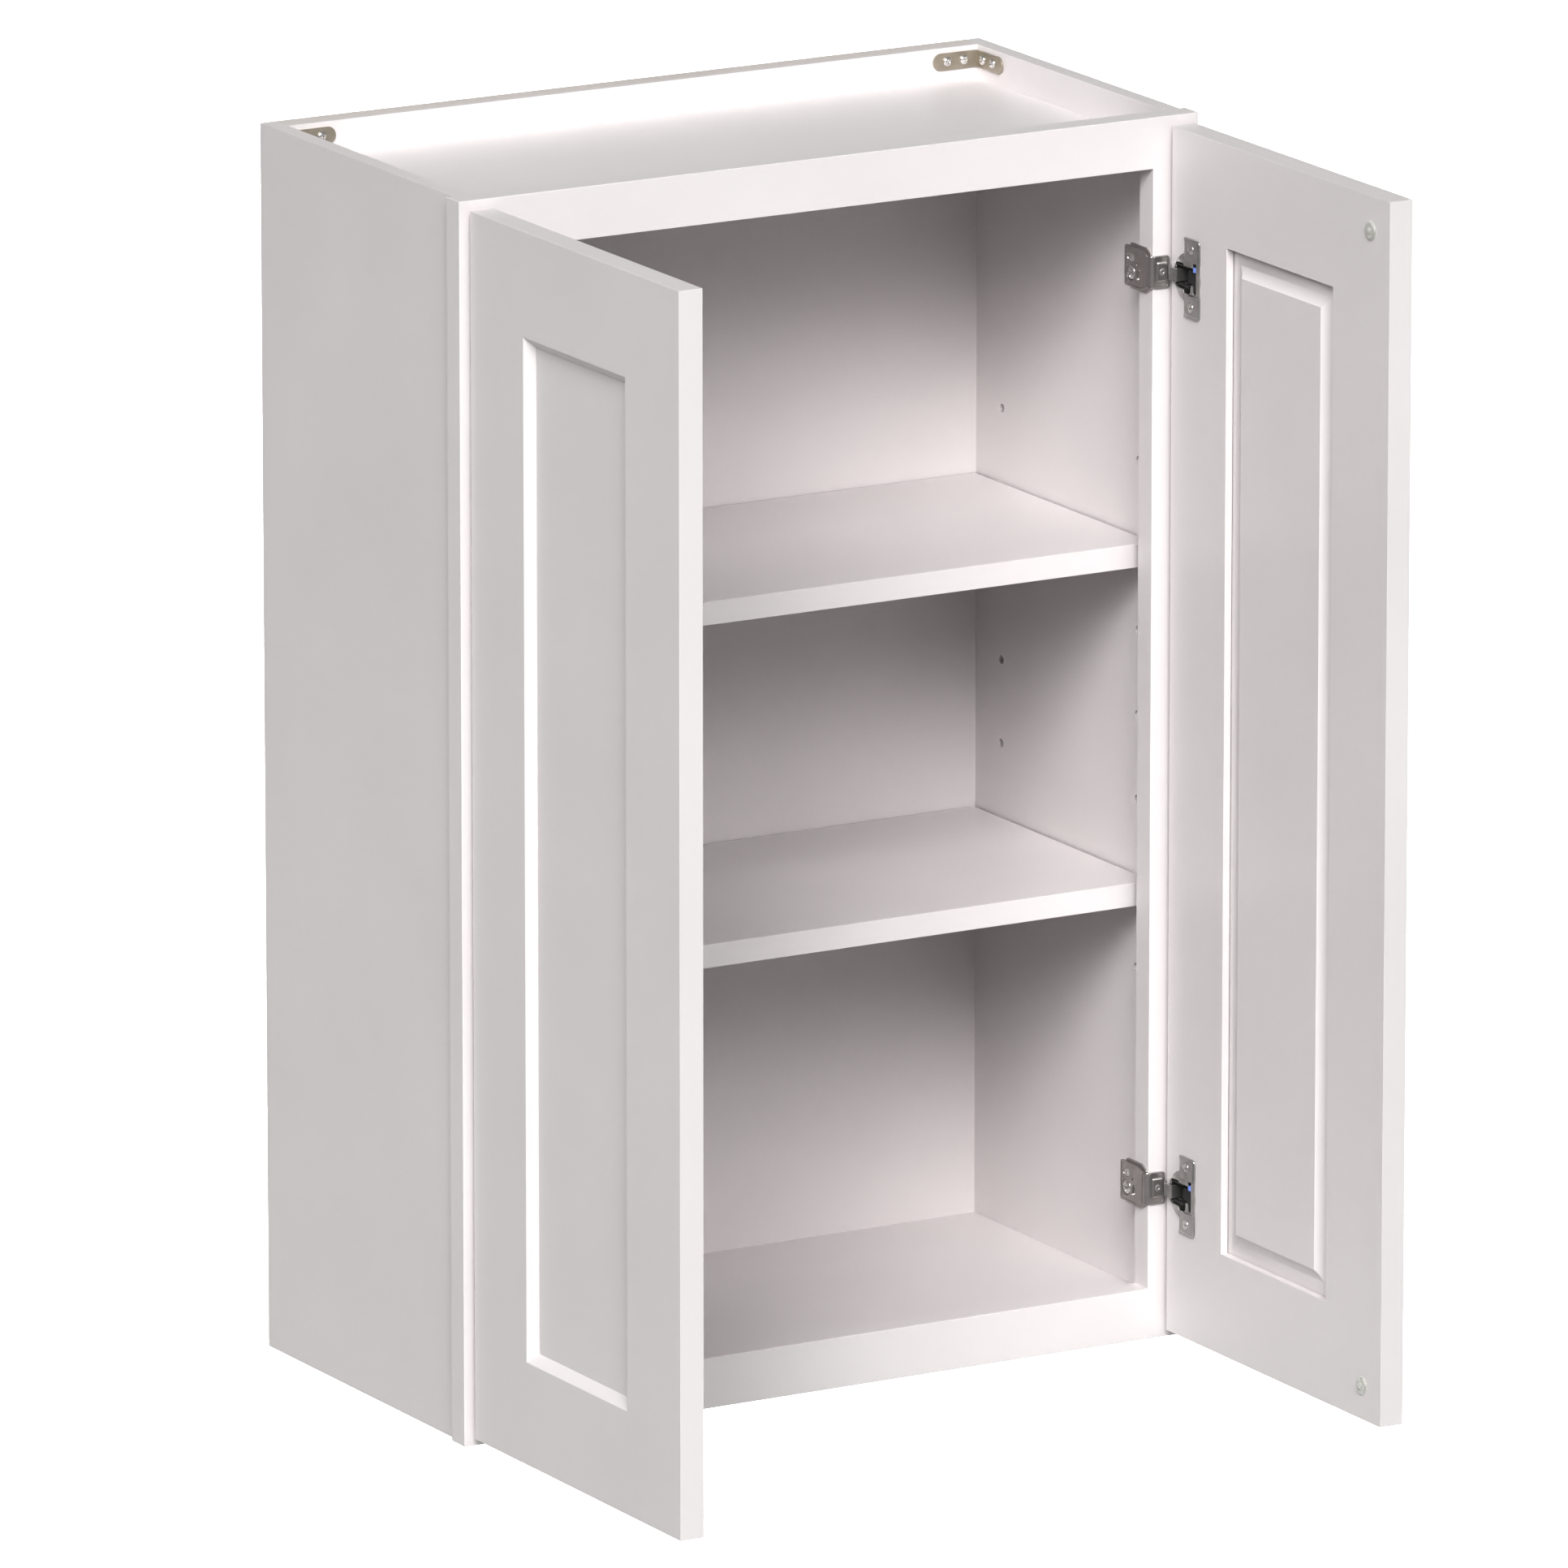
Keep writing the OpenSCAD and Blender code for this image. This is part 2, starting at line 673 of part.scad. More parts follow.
side_panel(LEFT);  // left_side_panel
side_panel(RIGHT);  // right_side_panel
level_panel(top_z - panel_t);  // top_panel
level_panel(bottom_recess);  // bottom_panel
back_panel();
back_stile(LEFT);  // left_back_stile
back_stile(RIGHT);  // right_back_stile
hanging_rail(cabinet_h - hanging_w);  // top_hanging_rail
hanging_rail(0);  // bottom_hanging_rail
frame_stile(LEFT);  // frame_left_stile
frame_stile(RIGHT);  // frame_right_stile
frame_rail(cabinet_h - frame_w);  // frame_top_rail
frame_rail(0);  // frame_bottom_rail
corner_bracket(LEFT);  // left_corner_bracket
corner_bracket(RIGHT);  // right_corner_bracket
corner_bracket_screws();
shelf(shelf_step);  // upper_shelf
shelf(-shelf_step);  // lower_shelf
shelf_supports();
door_hinge_stile(LEFT);  // left_door_hinge_stile
door_free_stile(LEFT);  // left_door_free_stile
door_top_rail(LEFT);  // left_door_top_rail
door_bottom_rail(LEFT);  // left_door_bottom_rail
door_panel(LEFT);  // left_door_panel
door_bumpers(LEFT);  // left_door_bumpers
door_hinge_stile(RIGHT);  // right_door_hinge_stile
door_free_stile(RIGHT);  // right_door_free_stile
door_top_rail(RIGHT);  // right_door_top_rail
door_bottom_rail(RIGHT);  // right_door_bottom_rail
door_panel(RIGHT);  // right_door_panel
door_bumpers(RIGHT);  // right_door_bumpers
hinge_base_plates(LEFT);  // left_hinge_base_plates
hinge_base_plates(RIGHT);  // right_hinge_base_plates
hinge_fixing_screws();
hinge_adjusting_screws();
hinge_bracket(LEFT, UPPER);  // upper_left_hinge_bracket
hinge_bracket(LEFT, LOWER);  // lower_left_hinge_bracket
hinge_bracket(RIGHT, UPPER);  // upper_right_hinge_bracket
hinge_bracket(RIGHT, LOWER);  // lower_right_hinge_bracket
hinge_arm(LEFT, UPPER);  // upper_left_hinge_arm
hinge_arm(LEFT, LOWER);  // lower_left_hinge_arm
hinge_arm(RIGHT, UPPER);  // upper_right_hinge_arm
hinge_arm(RIGHT, LOWER);  // lower_right_hinge_arm
hinge_cup(LEFT, UPPER);  // upper_left_hinge_cup
hinge_cup(LEFT, LOWER);  // lower_left_hinge_cup
hinge_cup(RIGHT, UPPER);  // upper_right_hinge_cup
hinge_cup(RIGHT, LOWER);  // lower_right_hinge_cup
damper_lever(LEFT, UPPER);  // upper_left_damper_lever
damper_lever(LEFT, LOWER);  // lower_left_damper_lever
damper_lever(RIGHT, UPPER);  // upper_right_damper_lever
damper_lever(RIGHT, LOWER);  // lower_right_damper_lever
damper_switch(LEFT, UPPER);  // upper_left_damper_switch
damper_switch(LEFT, LOWER);  // lower_left_damper_switch
damper_switch(RIGHT, UPPER);  // upper_right_damper_switch
damper_switch(RIGHT, LOWER);  // lower_right_damper_switch
hinge_pins(LEFT);  // left_hinge_pins
hinge_pins(RIGHT);  // right_hinge_pins
cup_screws(LEFT);  // left_cup_screws
cup_screws(RIGHT);  // right_cup_screws
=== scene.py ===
import math

import bmesh
import bpy
from mathutils import Matrix, Vector
from mathutils.geometry import tessellate_polygon


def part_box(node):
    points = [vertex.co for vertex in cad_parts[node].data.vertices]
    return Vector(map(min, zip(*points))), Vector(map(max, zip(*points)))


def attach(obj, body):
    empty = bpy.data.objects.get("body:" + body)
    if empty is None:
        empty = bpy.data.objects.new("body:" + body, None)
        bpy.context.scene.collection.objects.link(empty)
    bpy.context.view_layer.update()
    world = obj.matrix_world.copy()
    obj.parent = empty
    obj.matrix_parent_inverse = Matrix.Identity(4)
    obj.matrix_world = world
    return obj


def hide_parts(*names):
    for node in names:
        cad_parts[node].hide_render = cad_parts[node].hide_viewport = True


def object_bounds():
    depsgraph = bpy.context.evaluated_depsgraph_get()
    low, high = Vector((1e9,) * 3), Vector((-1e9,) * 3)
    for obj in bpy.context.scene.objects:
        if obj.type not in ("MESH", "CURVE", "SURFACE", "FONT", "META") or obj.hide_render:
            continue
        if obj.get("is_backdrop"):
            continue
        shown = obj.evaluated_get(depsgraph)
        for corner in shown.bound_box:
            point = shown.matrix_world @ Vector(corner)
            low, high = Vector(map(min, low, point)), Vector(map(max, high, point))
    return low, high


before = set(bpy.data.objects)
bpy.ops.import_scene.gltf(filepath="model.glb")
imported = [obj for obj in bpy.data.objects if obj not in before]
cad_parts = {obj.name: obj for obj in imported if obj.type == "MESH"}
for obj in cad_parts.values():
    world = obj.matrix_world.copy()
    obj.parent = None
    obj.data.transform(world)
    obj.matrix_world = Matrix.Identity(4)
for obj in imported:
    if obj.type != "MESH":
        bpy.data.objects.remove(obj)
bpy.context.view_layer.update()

MM = 0.001
SIDES = {"left": -1, "right": 1}
LEVELS = ("upper", "lower")


# Places, in millimetres, taken from the CAD nodes' boxes

def box_mm(node):
    low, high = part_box(node)
    return low / MM, high / MM


def centre_mm(node):
    low, high = box_mm(node)
    return (low + high) / 2


pin = centre_mm("right_hinge_pins")
pin_x, pin_y = pin.x, pin.y
hinge_z = {level: centre_mm(f"{level}_right_hinge_cup").z for level in LEVELS}
frame_low, frame_high = box_mm("frame_right_stile")
frame_y = frame_low.y - pin_y
stile_x = frame_low.x - pin_x
door_low, door_high = box_mm("right_door_hinge_stile")
door_back_x = door_low.x - pin_x
door_edge_y = door_high.y - pin_y
door_base_z = door_low.z
door_h = door_high.z - door_low.z
door_t = door_high.x - door_low.x
door_w = door_high.y - box_mm("right_door_free_stile")[0].y


# Materials

def node_tree(name):
    material = bpy.data.materials.new(name)
    material.use_nodes = True
    nodes = material.node_tree.nodes
    links = material.node_tree.links
    return material, nodes, links, nodes["Principled BSDF"]


def texture_space(nodes, links, scale):
    """The object's own coordinates, which are metres in the row frame, stretched by scale."""
    coordinates = nodes.new("ShaderNodeTexCoord")
    mapping = nodes.new("ShaderNodeMapping")
    mapping.inputs["Scale"].default_value = scale
    links.new(coordinates.outputs["Object"], mapping.inputs["Vector"])
    return mapping.outputs["Vector"]


def noise(nodes, links, vector, scale, detail=2.0, roughness=0.5):
    texture = nodes.new("ShaderNodeTexNoise")
    texture.inputs["Scale"].default_value = scale
    texture.inputs["Detail"].default_value = detail
    texture.inputs["Roughness"].default_value = roughness
    links.new(vector, texture.inputs["Vector"])
    return texture.outputs["Fac"]


def spread(nodes, links, value, low, high, start=0.3, end=0.7):
    """Turns a noise value into a number from low to high."""
    ranged = nodes.new("ShaderNodeMapRange")
    ranged.inputs["From Min"].default_value = start
    ranged.inputs["From Max"].default_value = end
    ranged.inputs["To Min"].default_value = low
    ranged.inputs["To Max"].default_value = high
    links.new(value, ranged.inputs["Value"])
    return ranged.outputs["Result"]


def tint(nodes, links, value, dark, light):
    ramp = nodes.new("ShaderNodeValToRGB")
    ramp.color_ramp.elements[0].position = 0.3
    ramp.color_ramp.elements[0].color = (*dark, 1)
    ramp.color_ramp.elements[1].position = 0.7
    ramp.color_ramp.elements[1].color = (*light, 1)
    links.new(value, ramp.inputs["Fac"])
    return ramp.outputs["Color"]


def bump(nodes, links, value, distance, strength, under=None):
    made = nodes.new("ShaderNodeBump")
    made.inputs["Distance"].default_value = distance
    made.inputs["Strength"].default_value = strength
    links.new(value, made.inputs["Height"])
    if under is not None:
        links.new(under, made.inputs["Normal"])
    return made.outputs["Normal"]


def paint_material(name, dark, light, grain):
    """Satin paint: a fine sprayed stipple over a faint trace of the grain, with slow drifts in tone."""
    material, nodes, links, shader = node_tree(name)
    plain = texture_space(nodes, links, (1, 1, 1))
    along = texture_space(nodes, links, (1, 1, 0.06))
    drift = noise(nodes, links, plain, 7, 3)
    stipple = noise(nodes, links, plain, 1500, 2, 0.6)
    wood = noise(nodes, links, along, 420, 4, 0.6)
    links.new(tint(nodes, links, drift, dark, light), shader.inputs["Base Color"])
    links.new(spread(nodes, links, stipple, 0.36, 0.46), shader.inputs["Roughness"])
    under = bump(nodes, links, wood, 0.00004, grain)
    links.new(bump(nodes, links, stipple, 0.00002, 0.5, under), shader.inputs["Normal"])
    return material


def metal_material(name, dark, light, rough, metallic):
    """Plated steel: slow stains in tone, fine rolling marks and a slightly uneven polish."""
    material, nodes, links, shader = node_tree(name)
    plain = texture_space(nodes, links, (1, 1, 1))
    rolled = texture_space(nodes, links, (1, 1, 0.3))
    stain = noise(nodes, links, plain, 90, 3)
    marks = noise(nodes, links, rolled, 1800, 3, 0.6)
    shader.inputs["Metallic"].default_value = metallic
    links.new(tint(nodes, links, stain, dark, light), shader.inputs["Base Color"])
    links.new(spread(nodes, links, marks, rough - 0.02, rough + 0.03), shader.inputs["Roughness"])
    links.new(bump(nodes, links, marks, 0.00001, 0.2), shader.inputs["Normal"])
    return material


def plastic_material(name, dark, light, rough, see_through=0.0):
    material, nodes, links, shader = node_tree(name)
    plain = texture_space(nodes, links, (1, 1, 1))
    cloud = noise(nodes, links, plain, 160, 3)
    grit = noise(nodes, links, plain, 3200, 2)
    shader.inputs["Transmission Weight"].default_value = see_through
    links.new(tint(nodes, links, cloud, dark, light), shader.inputs["Base Color"])
    links.new(spread(nodes, links, grit, rough - 0.06, rough + 0.06), shader.inputs["Roughness"])
    links.new(bump(nodes, links, grit, 0.00002, 0.3), shader.inputs["Normal"])
    return material


PAINT = paint_material("satin_paint", (0.774, 0.748, 0.748), (0.794, 0.768, 0.768), 0.25)
BARE = paint_material("primed_back", (0.74, 0.70, 0.68), (0.79, 0.75, 0.73), 0.6)
NICKEL = metal_material("satin_nickel", (0.56, 0.540, 0.53), (0.62, 0.60, 0.59), 0.30, 0.9)
CUP_STEEL = metal_material("cup_nickel", (0.60, 0.595, 0.585), (0.69, 0.685, 0.675), 0.34, 0.88)
ZINC = metal_material("bright_zinc", (0.78, 0.77, 0.76), (0.86, 0.85, 0.84), 0.20, 0.9)
BEIGE = metal_material("bracket_nickel", (0.49, 0.455, 0.395), (0.56, 0.52, 0.455), 0.36, 0.75)
BLACK = plastic_material("black_moulding", (0.060, 0.060, 0.063), (0.082, 0.082, 0.086), 0.42)
BLUE = plastic_material("blue_moulding", (0.30, 0.41, 0.82), (0.35, 0.46, 0.88), 0.34)
CLEAR = plastic_material("clear_bumper", (0.66, 0.67, 0.63), (0.74, 0.75, 0.71), 0.30, 0.35)


# Mesh building. Solids are drawn in millimetres as bmesh, then joined into one named piece.

def arc(centre, radius, start, end, steps):
    """Points on an arc, with its angles in degrees."""
    points = []
    for i in range(steps + 1):
        angle = math.radians(start + (end - start) * i / steps)
        points.append((centre[0] + radius * math.cos(angle), centre[1] + radius * math.sin(angle)))
    return points


def circle(centre, radius, steps=40):
    return arc(centre, radius, 0, 360, steps)[:-1]


def rounded(corners, radii, steps=6):
    """A polygon with each corner rounded by its own radius."""
    points = []
    count = len(corners)
    if not hasattr(radii, "__len__"):
        radii = [radii] * count
    for i, radius in enumerate(radii):
        corner = Vector(corners[i])
        before = (Vector(corners[i - 1]) - corner).normalized()
        after = (Vector(corners[(i + 1) % count]) - corner).normalized()
        if radius <= 0:
            points.append(tuple(corner))
            continue
        half = before.angle(after) / 2
        reach = radius / math.tan(half)
        centre = corner + (before + after).normalized() * radius / math.sin(half)
        first = corner + before * reach - centre
        last = corner + after * reach - centre
        turn = first.angle_signed(last)
        for k in range(steps + 1):
            spoke = first.copy()
            spoke.rotate(Matrix.Rotation(-turn * k / steps, 2))
            points.append(tuple(centre + spoke))
    return points


def rectangle(low, high, radius=0.0, steps=6):
    corners = [(low[0], low[1]), (high[0], low[1]), (high[0], high[1]), (low[0], high[1])]
    return rounded(corners, radius, steps)


def slot_hole(low, high, steps=8):
    """A slot with round ends, as long as its box."""
    radius = min(high[0] - low[0], high[1] - low[1]) / 2 * 0.999
    return rectangle(low, high, radius, steps)


def inset_loop(loop, distance):
    """A closed loop moved sideways by a distance, towards its own inside."""
    area = sum(one[0] * two[1] - two[0] * one[1] for one, two in zip(loop, loop[1:] + loop[:1]))
    turn = 1 if area > 0 else -1
    points = []
    for i, point in enumerate(loop):
        here = Vector(point)
        before = (here - Vector(loop[i - 1])).normalized()
        after = (Vector(loop[(i + 1) % len(loop)]) - here).normalized()
        first = Vector((-before.y, before.x)) * turn
        last = Vector((-after.y, after.x)) * turn
        mitre = (first + last).normalized()
        points.append(tuple(here + mitre * distance / max(mitre.dot(first), 0.5)))
    return points


def prism(outline, low, high, holes=(), bevel=0.0, segments=2, ends="high"):
    """A plate in (a, b) from c = low to c = high, with its rims rounded at the high end or at both."""
    bm = bmesh.new()
    loops = [list(outline), *[list(hole) for hole in holes]]
    turns = [math.pi / 2 * k / segments for k in range(segments + 1)]
    upper = [(bevel * (1 - math.cos(turn)), high - bevel * (1 - math.sin(turn))) for turn in turns]
    lower = [(inset, low + high - c) for inset, c in reversed(upper)]
    if ends == "high":
        lower = [(0, low)]
    if bevel == 0:
        lower, upper = [(0, low)], [(0, high)]
    levels = []
    for inset, c in lower + upper:
        rings = []
        for number, loop in enumerate(loops):
            shifted = inset_loop(loop, inset if number == 0 else -inset)
            rings.append([bm.verts.new((a, b, c)) for a, b in shifted])
        levels.append(rings)
    for one, two in zip(levels, levels[1:]):
        for ring, next_ring in zip(one, two):
            for i in range(len(ring)):
                j = (i + 1) % len(ring)
                bm.faces.new([ring[i], ring[j], next_ring[j], next_ring[i]])
    for rings in (levels[0], levels[-1]):
        verts = [vert for ring in rings for vert in ring]
        for triangle in tessellate_polygon([[vert.co for vert in ring] for ring in rings]):
            if len(set(triangle)) == 3:
                bm.faces.new([verts[i] for i in triangle])
    bmesh.ops.recalc_face_normals(bm, faces=bm.faces)
    return bm


def lathe(profile, steps=48, closed=False):
    """Turns a profile of (radius, c) points about the c axis. An open profile starts and ends on it."""
    bm = bmesh.new()
    rings = []
    for radius, c in profile:
        if radius == 0:
            rings.append([bm.verts.new((0, 0, c))])
            continue
        ring = []
        for i in range(steps):
            angle = 2 * math.pi * i / steps
            ring.append(bm.verts.new((radius * math.cos(angle), radius * math.sin(angle), c)))
        rings.append(ring)
    pairs = list(zip(rings, rings[1:]))
    if closed:
        pairs.append((rings[-1], rings[0]))
    for one, two in pairs:
        for i in range(steps):
            j = (i + 1) % steps
            corners = [one[i % len(one)], one[j % len(one)], two[j % len(two)], two[i % len(two)]]
            unique = list(dict.fromkeys(corners))
            if len(unique) > 2:
                bm.faces.new(unique)
    bmesh.ops.recalc_face_normals(bm, faces=bm.faces)
    return bm


def cross_outline(reach, width):
    """A Phillips cross, as one closed outline."""
    half = width / 2
    points = []
    for turn in range(4):
        angle = math.pi / 2 * turn
        for a, b in ((reach, -half), (reach, half), (half * 1.2, half * 1.2)):
            points.append((a * math.cos(angle) - b * math.sin(angle),
                           a * math.sin(angle) + b * math.cos(angle)))
    return points


def screw(profile, shank_r, shank_l, reach, width, depth):
    """A cross-recessed screw along c: its flat top is the profile's first point, (radius, height)."""
    bm = bmesh.new()
    steps = 36
    top_r, top_c = profile[0]
    ring = circle((0, 0), top_r, steps)
    cross = cross_outline(reach, width)
    flat = ring + cross
    verts = [bm.verts.new((a, b, top_c)) for a, b in flat]
    for triangle in tessellate_polygon([[Vector((*p, 0)) for p in loop] for loop in (ring, cross)]):
        bm.faces.new([verts[i] for i in triangle])
    deep = [bm.verts.new((a * 0.45, b * 0.45, top_c - depth)) for a, b in cross]
    edge = verts[steps:]
    for i in range(len(cross)):
        j = (i + 1) % len(cross)
        bm.faces.new([edge[i], edge[j], deep[j], deep[i]])
    bm.faces.new(deep)
    last = verts[:steps]
    for radius, c in [*profile[1:], (shank_r, 0), (shank_r, -shank_l)]:
        here = [bm.verts.new((a, b, c)) for a, b in circle((0, 0), radius, steps)]
        for i in range(steps):
            j = (i + 1) % steps
            bm.faces.new([last[i], last[j], here[j], here[i]])
        last = here
    bm.faces.new(last)
    bmesh.ops.recalc_face_normals(bm, faces=bm.faces)
    return bm


def moved(bm, place):
    """Sends each point (a, b, c) of a solid through a function."""
    for vert in bm.verts:
        vert.co = Vector(place(*vert.co))
    return bm


def facing_x(x, y=0.0, z=0.0):
    """A solid drawn in (y, z), with c standing out towards -X from x."""
    return lambda a, b, c: (x - c, y + a, z + b)


def facing_y(y, x=0.0, z=0.0):
    """A solid drawn in (x, z), with c standing out towards -Y from y."""
    return lambda a, b, c: (x + a, y - c, z + b)


def upright(x=0.0, y=0.0, z=0.0):
    return lambda a, b, c: (x + a, y + b, z + c)


def at_hinge(side, level):
    """From the pin of an open right-hand hinge to the row frame. A left-hand one is upside down."""
    hand = SIDES[side]
    return lambda x, y, z: (hand * (pin_x + x), pin_y + y, hinge_z[level] + hand * z)


def on_door(side):
    """From door coordinates: u from the hinge edge, v from the back face, z from the lower edge."""
    hand = SIDES[side]
    return lambda u, v, z: (hand * (door_low.x + v), door_high.y - u, door_base_z + z)


def joined_mesh(name, solids):
    """Joins solids, in millimetres, into one mesh in metres."""
    joined = bmesh.new()
    for solid in solids:
        holder = bpy.data.meshes.new("holder")
        bmesh.ops.recalc_face_normals(solid, faces=solid.faces)
        solid.to_mesh(holder)
        joined.from_mesh(holder)
        bpy.data.meshes.remove(holder)
        solid.free()
    bmesh.ops.scale(joined, vec=(MM, MM, MM), verts=joined.verts)
    mesh = bpy.data.meshes.new(name)
    joined.to_mesh(mesh)
    joined.free()
    return mesh


def placed(name, data):
    made = bpy.data.objects.new(name, data)
    bpy.context.scene.collection.objects.link(made)
    return made


def build(name, solids, material, body, replaces=(), smooth=35):
    """Joins solids, in millimetres in the row frame, into one piece that rides on a body."""
    piece = placed(name, joined_mesh(name, solids))
    piece.data.materials.append(material)
    shade(piece, smooth)
    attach(piece, body)
    if replaces:
        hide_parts(*replaces)
    return piece


def shade(piece, angle):
    """Smooths the turns gentler than an angle, and keeps flat faces flat."""
    piece.data.shade_smooth()
    piece.data.set_sharp_from_angle(angle=math.radians(angle))
    even = piece.modifiers.new("even shading", "WEIGHTED_NORMAL")
    even.keep_sharp = True


def cut(piece, solids, angle=35):
    """Takes the solids away from a piece for good."""
    tool = placed("cutter", joined_mesh("cutter", solids))
    boolean = piece.modifiers.new("cut", "BOOLEAN")
    boolean.operation = "DIFFERENCE"
    boolean.solver = "EXACT"
    boolean.object = tool
    settle(piece, angle)
    bpy.data.objects.remove(tool)


def settle(piece, angle=35):
    """Turns a piece's modifiers into its mesh."""
    bpy.context.view_layer.update()
    evaluated = piece.evaluated_get(bpy.context.evaluated_depsgraph_get())
    mesh = bpy.data.meshes.new_from_object(evaluated)
    mesh.name = piece.name
    piece.modifiers.clear()
    piece.data = mesh
    shade(piece, angle)


def ease_edges(piece, width, angle=40, segments=2):
    bevel = piece.modifiers.new("eased edges", "BEVEL")
    bevel.width = width * MM
    bevel.segments = segments
    bevel.limit_method = "ANGLE"
    bevel.angle_limit = math.radians(angle)
    return bevel


def tidy_edges(node, width):
    """Joins a CAD node's flat triangles into whole faces, then eases its edges."""
    node.modifiers.new("weld", "WELD").merge_threshold = 0.000002
    flat = node.modifiers.new("whole faces", "DECIMATE")
    flat.decimate_type = "DISSOLVE"
    flat.angle_limit = math.radians(1)
    ease_edges(node, width)
    node.modifiers.new("even shading", "WEIGHTED_NORMAL").keep_sharp = True


def mitred_rings(bm, loop, size_u, size_z):
    """One rectangle of four points for each (inset, v) of a loop."""
    rings = []
    for inset, v in loop:
        corners = [(inset, inset), (size_u - inset, inset),
                   (size_u - inset, size_z - inset), (inset, size_z - inset)]
        rings.append([bm.verts.new((u, v, z)) for u, z in corners])
    return rings


def ring_sweep(loop, size_u, size_z):
    """Sweeps a closed loop of (inset, v) points round a rectangle, mitred at its corners."""
    bm = bmesh.new()
    rings = mitred_rings(bm, loop, size_u, size_z)
    for i, ring in enumerate(rings):
        after = rings[(i + 1) % len(rings)]
        for k in range(4):
            m = (k + 1) % 4
            bm.faces.new([ring[k], ring[m], after[m], after[k]])
    bmesh.ops.recalc_face_normals(bm, faces=bm.faces)
    return bm


def slab(low, high):
    bm = bmesh.new()
    bmesh.ops.create_cube(bm, size=1)
    middle = [(a + b) / 2 for a, b in zip(low, high)]
    size = [b - a for a, b in zip(low, high)]
    return moved(bm, lambda *at: [m + a * s for m, a, s in zip(middle, at, size)])


# Wooden parts that keep their CAD mesh

def finish_wood(name, material, width):
    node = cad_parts[name]
    node.data.materials.clear()
    node.data.materials.append(material)
    tidy_edges(node, width)


for name in ("left_side_panel", "right_side_panel", "top_panel", "bottom_panel", "back_panel",
             "upper_shelf", "lower_shelf"):
    finish_wood(name, PAINT, 0.35)
for name in ("left_back_stile", "right_back_stile", "top_hanging_rail", "bottom_hanging_rail"):
    finish_wood(name, BARE, 0.35)


# Face frame, painted as one piece over its four members

frame_w = frame_high.x - frame_low.x
frame_t = frame_high.y - frame_low.y
frame_size = (frame_high.x * 2, frame_high.z - frame_low.z)


GROOVE_ROOM = 0.05      # between the frame's groove and the side panel in it
OVER = 5                # cutters run this far past the faces they open


def face_frame():
    loop = [(0, 0), (frame_w, 0), (frame_w, frame_t), (0, frame_t)]
    ring = ring_sweep(loop, *frame_size)
    moved(ring, lambda u, v, z: (u - frame_high.x, frame_low.y + v, frame_low.z + z))
    piece = build("face_frame", [ring], PAINT, "cabinet",
                  ["frame_left_stile", "frame_right_stile", "frame_top_rail", "frame_bottom_rail"])
    ease_edges(piece, 0.5, segments=3)
    settle(piece)
    grooves = []
    for side in SIDES:
        low, high = box_mm(f"{side}_side_panel")
        grooves.append(slab((low.x - GROOVE_ROOM, low.y, frame_low.z - OVER),
                            (high.x + GROOVE_ROOM, frame_high.y + OVER, frame_high.z + OVER)))
    cut(piece, grooves)


face_frame()


# Doors

MEMBER_W = 76.2
GROOVE_D = 9.5
PANEL_FRONT = door_t - 6.8
PANEL_BACK = PANEL_FRONT - 6.35
BEVEL_W = 7.0
PANEL_GAP = 0.6
BEVEL_STEP = 0.5
FIELD_V = 1.4
COVE = (1.5, 18.7)
COVE_SWEEP = math.radians(64)
COVE_STEPS = 20
PANEL_PLAY = 0.8        # between the panel's edge and the bottom of its groove
CUP_INSET = 22.9        # from the door's hinge edge to the middle of the cup
CUP_SCREW_Y = -17.9
EAR_SCREW_Z = 21.5
CUP_BORE = (17.56, 14.8)
PILOT_BORE = (1.8, 12.6)
cup_y = door_edge_y - CUP_INSET


def bore(size, steps):
    """A round cutter of (radius, depth), running a little out of the door's face."""
    radius, depth = size
    return lathe([(0, -depth), (radius, -depth), (radius, 2), (0, 2)], steps)


def door_frame(side):
    loop = [(0, 0), (MEMBER_W, 0), (MEMBER_W, PANEL_BACK), (MEMBER_W - GROOVE_D, PANEL_BACK),
            (MEMBER_W - GROOVE_D, PANEL_FRONT), (MEMBER_W + BEVEL_W, PANEL_FRONT),
            (MEMBER_W + BEVEL_W, PANEL_FRONT + BEVEL_STEP), (MEMBER_W, door_t), (0, door_t)]
    ring = moved(ring_sweep(loop, door_w, door_h), on_door(side))
    members = ("hinge_stile", "free_stile", "top_rail", "bottom_rail")
    piece = build(f"{side}_door_frame", [ring], PAINT, f"{side}_door",
                  [f"{side}_door_{member}" for member in members])
    ease_edges(piece, 0.5, 28)
    settle(piece)
    holes = []
    for level in LEVELS:
        place = at_hinge(side, level)
        holes.append(moved(moved(bore(CUP_BORE, 64), facing_x(door_back_x, cup_y)), place))
        for z in (-EAR_SCREW_Z, EAR_SCREW_Z):
            pilot = moved(bore(PILOT_BORE, 24), facing_x(door_back_x, CUP_SCREW_Y, z))
            holes.append(moved(pilot, place))
    cut(piece, holes)


def cove_points(foot):
    """The cove from the foot of the recess up to the raised field, as (inset from the member, v)."""
    points = []
    for i in range(COVE_STEPS + 1):
        share = i / COVE_STEPS
        angle = math.asin(share * math.sin(COVE_SWEEP))
        rise = (1 - math.cos(angle)) / (1 - math.cos(COVE_SWEEP)) * (foot - FIELD_V)
        points.append((MEMBER_W + COVE[0] + (COVE[1] - COVE[0]) * share, foot - rise))
    return points


